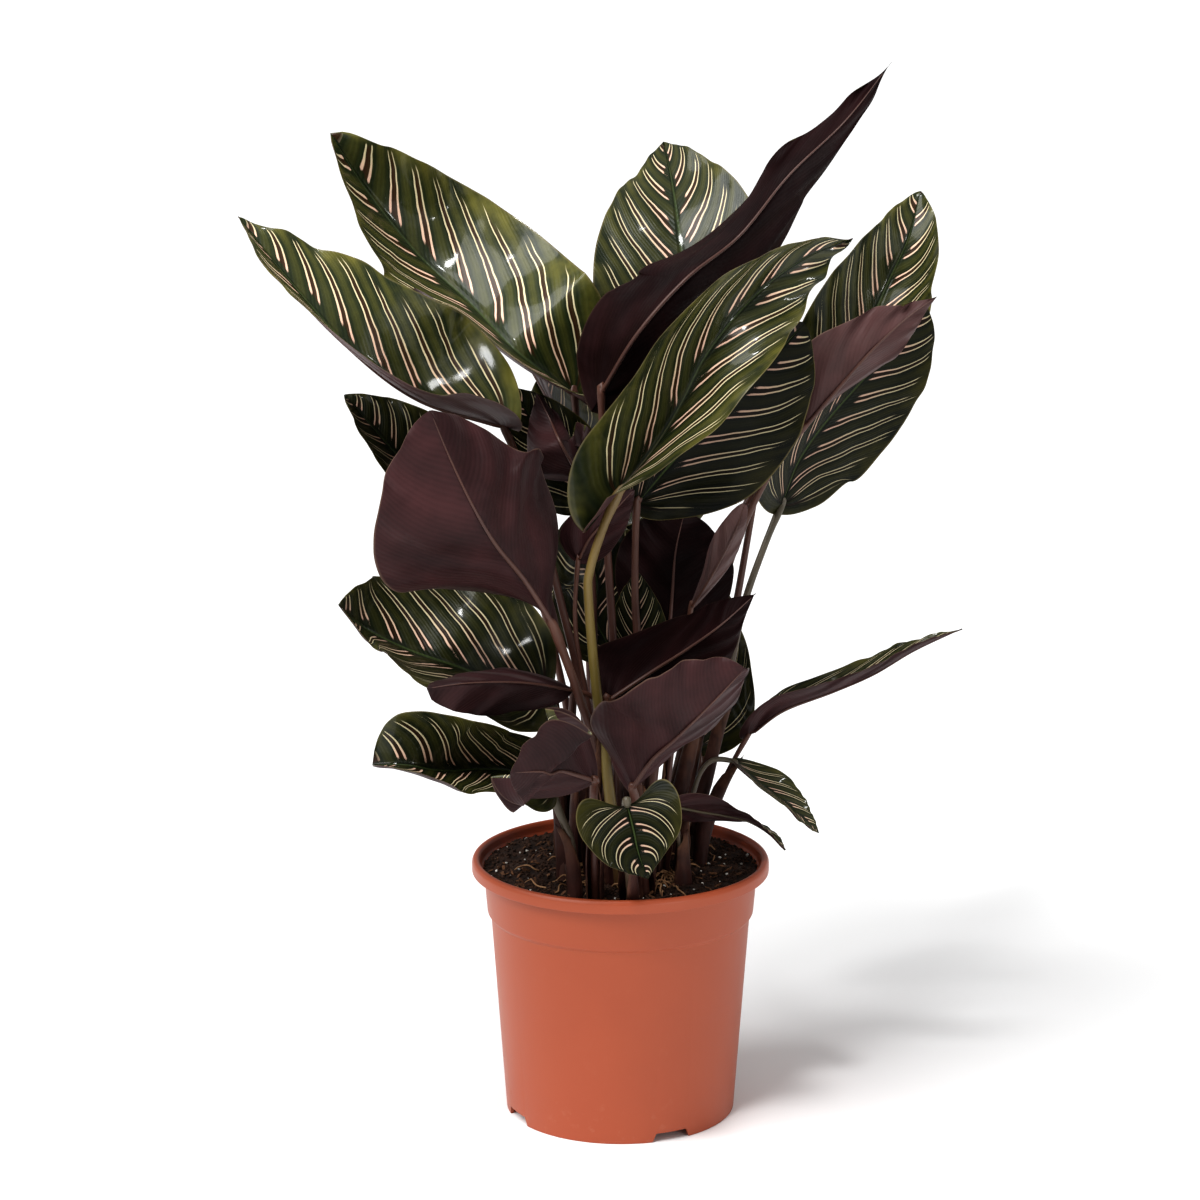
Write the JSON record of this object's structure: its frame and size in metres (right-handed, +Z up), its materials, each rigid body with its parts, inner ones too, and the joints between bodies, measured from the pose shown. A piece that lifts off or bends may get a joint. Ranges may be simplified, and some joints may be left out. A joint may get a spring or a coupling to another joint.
{
  "type": "potted calathea",
  "caption": "Bushy pinstripe houseplant in a round terracotta-coloured plastic nursery pot: upright stalks carry folded, wavy leaves, striped above and maroon below.",
  "frame": {"origin": "middle of the pot's underside, on the surface it stands on", "axes": "+Z up; +X to the right and -Y towards the viewer as the plant is usually seen"},
  "size_m": [0.4005, 0.3636, 0.6001],
  "materials": {
    "pot": "terracotta-orange moulded plastic, satin",
    "soil": "dark damp compost, rough",
    "leaf": "waxy dark green with fine pale stripes above, matte maroon below",
    "stalk": "smooth red-brown stalk, satin"
  },
  "bodies": {
    "root": {"pot": "pot", "soil": "soil", "top_left_blade": "leaf", "top_left_stalk": "stalk", "far_left_blade": "leaf", "far_left_stalk": "stalk", "top_centre_blade": "leaf", "top_centre_stalk": "stalk", "tall_dark_blade": "leaf", "tall_dark_stalk": "stalk", "front_striped_blade": "leaf", "front_striped_stalk": "stalk", "mid_right_striped_blade": "leaf", "mid_right_striped_stalk": "stalk", "right_top_blade": "leaf", "right_top_stalk": "stalk", "right_purple_blade": "leaf", "right_purple_stalk": "stalk", "right_low_blade": "leaf", "right_low_stalk": "stalk", "front_purple_blade": "leaf", "front_purple_stalk": "stalk", "left_small_blade": "leaf", "left_small_stalk": "stalk", "left_mid_blade": "leaf", "left_mid_stalk": "stalk", "left_under_blade": "leaf", "left_under_stalk": "stalk", "low_left_blade": "leaf", "low_left_stalk": "stalk", "low_purple_blade": "leaf", "low_purple_stalk": "stalk", "centre_purple_blade": "leaf", "centre_purple_stalk": "stalk", "centre_dark_blade": "leaf", "centre_dark_stalk": "stalk", "grey_fold_blade": "leaf", "grey_fold_stalk": "stalk", "dark_mass_blade": "leaf", "dark_mass_stalk": "stalk", "back_right_blade": "leaf", "back_right_stalk": "stalk", "centre_striped_blade": "leaf", "centre_striped_stalk": "stalk", "arch_blade": "leaf", "arch_stalk": "stalk", "neck_purple_leaf": "leaf", "inner_left_leaf": "leaf", "inner_low_leaf": "leaf", "long_right_leaf": "leaf", "small_right_leaf": "leaf", "droop_right_leaf": "leaf", "heart_leaf": "leaf", "back_up_leaf": "leaf", "back_low_leaf": "leaf", "back_left_up_leaf": "leaf", "back_right_up_leaf": "leaf", "back_left_low_leaf": "leaf", "back_right_low_leaf": "leaf", "back_mid_leaf": "leaf"}
  },
  "joints": []
}
